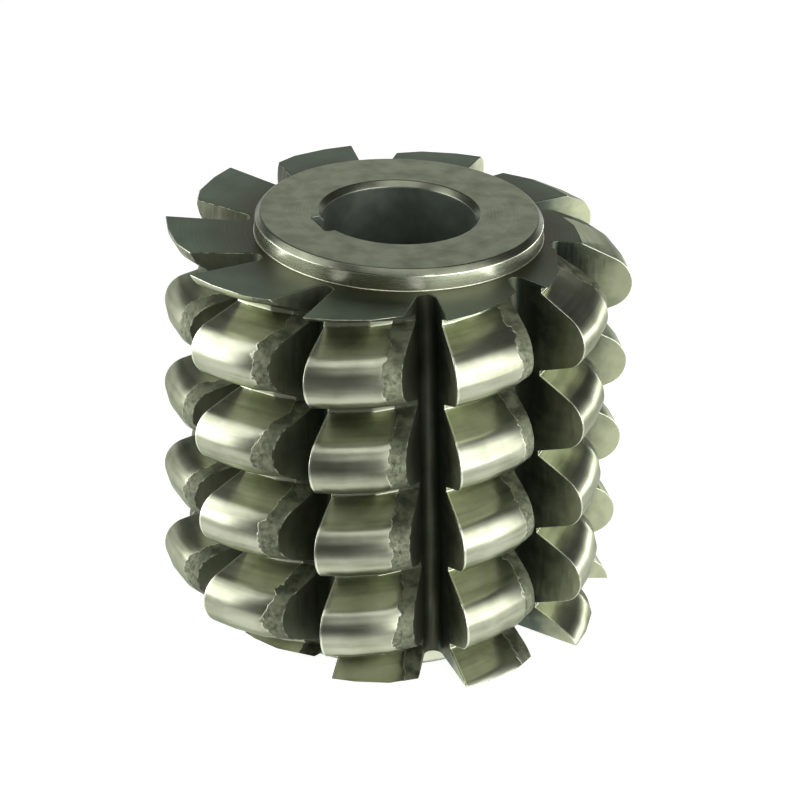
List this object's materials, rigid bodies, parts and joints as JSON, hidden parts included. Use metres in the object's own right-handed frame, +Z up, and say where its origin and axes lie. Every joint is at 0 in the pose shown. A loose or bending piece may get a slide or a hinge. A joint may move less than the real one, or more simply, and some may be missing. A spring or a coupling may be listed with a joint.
{
  "type": "gear hob",
  "caption": "Shell gear hob for roller-chain sprockets: round-tipped relieved thread cut by twisted gashes, plain hubs, keyed bore.",
  "frame": {"origin": "on the bore's axis, at the lower hub face that the hob rests on", "axes": "+Z up along the bore from the rest face, +X to the right and +Y away from the viewer in the picture's view"},
  "size_m": [0.0998, 0.0968, 0.094],
  "materials": {
    "hob_steel": "ground and satin, oiled, with dull unground heels"
  },
  "bodies": {
    "root": {"hob": "hob_steel"}
  },
  "joints": []
}
